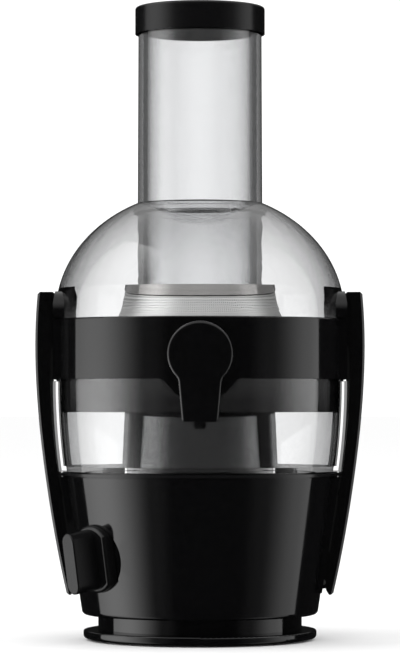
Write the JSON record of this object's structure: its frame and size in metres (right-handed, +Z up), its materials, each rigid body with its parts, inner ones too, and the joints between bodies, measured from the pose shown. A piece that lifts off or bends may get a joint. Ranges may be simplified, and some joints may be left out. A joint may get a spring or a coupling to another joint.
{
  "type": "centrifugal juicer",
  "caption": "Centrifugal juicer with a clear domed lid, wide feed tube and pusher, spinning steel sieve, clear pulp container, turning spout, side clamps and a speed knob.",
  "frame": {"origin": "on the table, on the axis of the motor shaft, at the middle of the foot ring's underside", "axes": "+Z up along the motor shaft, -Y to the front where the spout is, +X to the viewer's right; the control knob is at the front left"},
  "size_m": [0.2116, 0.2064, 0.4108],
  "materials": {
    "housing_black": "high gloss black ABS",
    "clamp_black": "gloss black ABS",
    "knob_black": "satin black ABS",
    "clear_plastic": "clear SAN plastic, faintly smoky",
    "inner_grey": "moulded dark grey plastic",
    "rubber_black": "matt",
    "steel_polished": "polished stainless steel",
    "steel_mesh": "perforated stainless steel",
    "steel_plain": "plain steel",
    "laminated_steel": "stacked sheet",
    "copper": "enamelled or bare copper",
    "brass": "drawn tube",
    "carbon": "pressed carbon",
    "fan_grey": "moulded plastic",
    "switch_white": "moulded plastic"
  },
  "bodies": {
    "motor_unit": {"foot_ring": "rubber_black", "foot_plate": "housing_black", "base_screws": "steel_plain", "cord_spool": "housing_black", "housing_screws": "steel_plain", "motor_housing": "housing_black", "deck_screws": "steel_plain", "cord_gland": "rubber_black", "top_deck": "inner_grey", "shaft_seal": "rubber_black", "motor_mounts": "rubber_black", "lower_bracket": "steel_plain", "lower_bearing": "steel_plain", "upper_bracket": "steel_plain", "upper_bearing": "steel_plain", "motor_bolts": "steel_plain", "stator_core": "laminated_steel", "field_coils": "copper", "brush_holders": "brass", "carbon_brushes": "carbon", "clamp_pin_left": "steel_plain", "clamp_pin_right": "steel_plain", "interlock_switch_left": "switch_white", "interlock_switch_right": "switch_white", "dial_switch": "switch_white"},
    "rotor": {"motor_shaft": "steel_plain", "rotor_core": "laminated_steel", "rotor_windings": "copper", "commutator": "copper", "cooling_fan": "fan_grey", "drive_coupling": "inner_grey"},
    "pulp_container": {"pulp_container": "clear_plastic"},
    "juice_collector": {"juice_collector": "housing_black", "spout_seal": "rubber_black"},
    "spout": {"spout": "housing_black"},
    "sieve": {"sieve_socket": "inner_grey", "sieve_spider": "inner_grey", "sieve_mesh": "steel_mesh", "sieve_top_ring": "steel_polished", "grater_disc": "steel_plain", "grater_screws": "steel_plain"},
    "lid": {"lid_dome": "clear_plastic", "feed_tube": "clear_plastic", "lid_catch_left": "clamp_black", "lid_catch_right": "clamp_black"},
    "pusher": {"pusher_tube": "clear_plastic", "pusher_cap": "knob_black", "pusher_cap_band": "knob_black"},
    "clamp_left": {"clamp_left": "clamp_black"},
    "clamp_right": {"clamp_right": "clamp_black"},
    "plunger_left": {"interlock_plunger_left": "inner_grey"},
    "plunger_right": {"interlock_plunger_right": "inner_grey"},
    "control_knob": {"control_knob": "knob_black", "knob_shaft": "steel_plain"}
  },
  "joints": [
    {"name": "rotor_spin", "type": "hinge", "parent": "motor_unit", "child": "rotor", "pos_m": [0, 0, 0.068], "axis": [0, 0, 1], "continuous": true},
    {"name": "container_lift", "type": "slide", "parent": "motor_unit", "child": "pulp_container", "axis": [0, 0, 1], "range_m": [0, 0.08]},
    {"name": "collector_lift", "type": "slide", "parent": "pulp_container", "child": "juice_collector", "axis": [0, 0, 1], "range_m": [0, 0.06]},
    {"name": "spout_turn", "type": "hinge", "parent": "juice_collector", "child": "spout", "pos_m": [0, -0.095, 0.1835], "axis": [0, -1, 0], "range_deg": [0, 180]},
    {"name": "sieve_spin", "type": "hinge", "parent": "juice_collector", "child": "sieve", "pos_m": [0, 0, 0.1612], "axis": [0, 0, 1], "continuous": true},
    {"name": "lid_lift", "type": "slide", "parent": "juice_collector", "child": "lid", "axis": [0, 0, 1], "range_m": [0, 0.08]},
    {"name": "pusher_slide", "type": "slide", "parent": "lid", "child": "pusher", "axis": [0, 0, 1], "range_m": [0, 0.215]},
    {"name": "clamp_left_swing", "type": "hinge", "parent": "motor_unit", "child": "clamp_left", "pos_m": [-0.079, 0, 0.038], "axis": [0, -1, 0], "range_deg": [0, 28]},
    {"name": "clamp_right_swing", "type": "hinge", "parent": "motor_unit", "child": "clamp_right", "pos_m": [0.079, 0, 0.038], "axis": [0, 1, 0], "range_deg": [0, 28]},
    {"name": "plunger_left_push", "type": "slide", "parent": "motor_unit", "child": "plunger_left", "axis": [-1, 0, 0], "range_m": [0, 0.0025]},
    {"name": "plunger_right_push", "type": "slide", "parent": "motor_unit", "child": "plunger_right", "axis": [1, 0, 0], "range_m": [0, 0.0025]},
    {"name": "knob_turn", "type": "hinge", "parent": "motor_unit", "child": "control_knob", "pos_m": [-0.06538, -0.04927, 0.0545], "axis": [0.7898, 0.5952, 0.148], "range_deg": [0, 90]}
  ],
  "couplings": [
    {"joint": "sieve_spin", "follows": "rotor_spin", "ratio": 1},
    {"joint": "plunger_left_push", "follows": "clamp_left_swing", "m_per_rad": 0.0051},
    {"joint": "plunger_right_push", "follows": "clamp_right_swing", "m_per_rad": 0.0051}
  ]
}
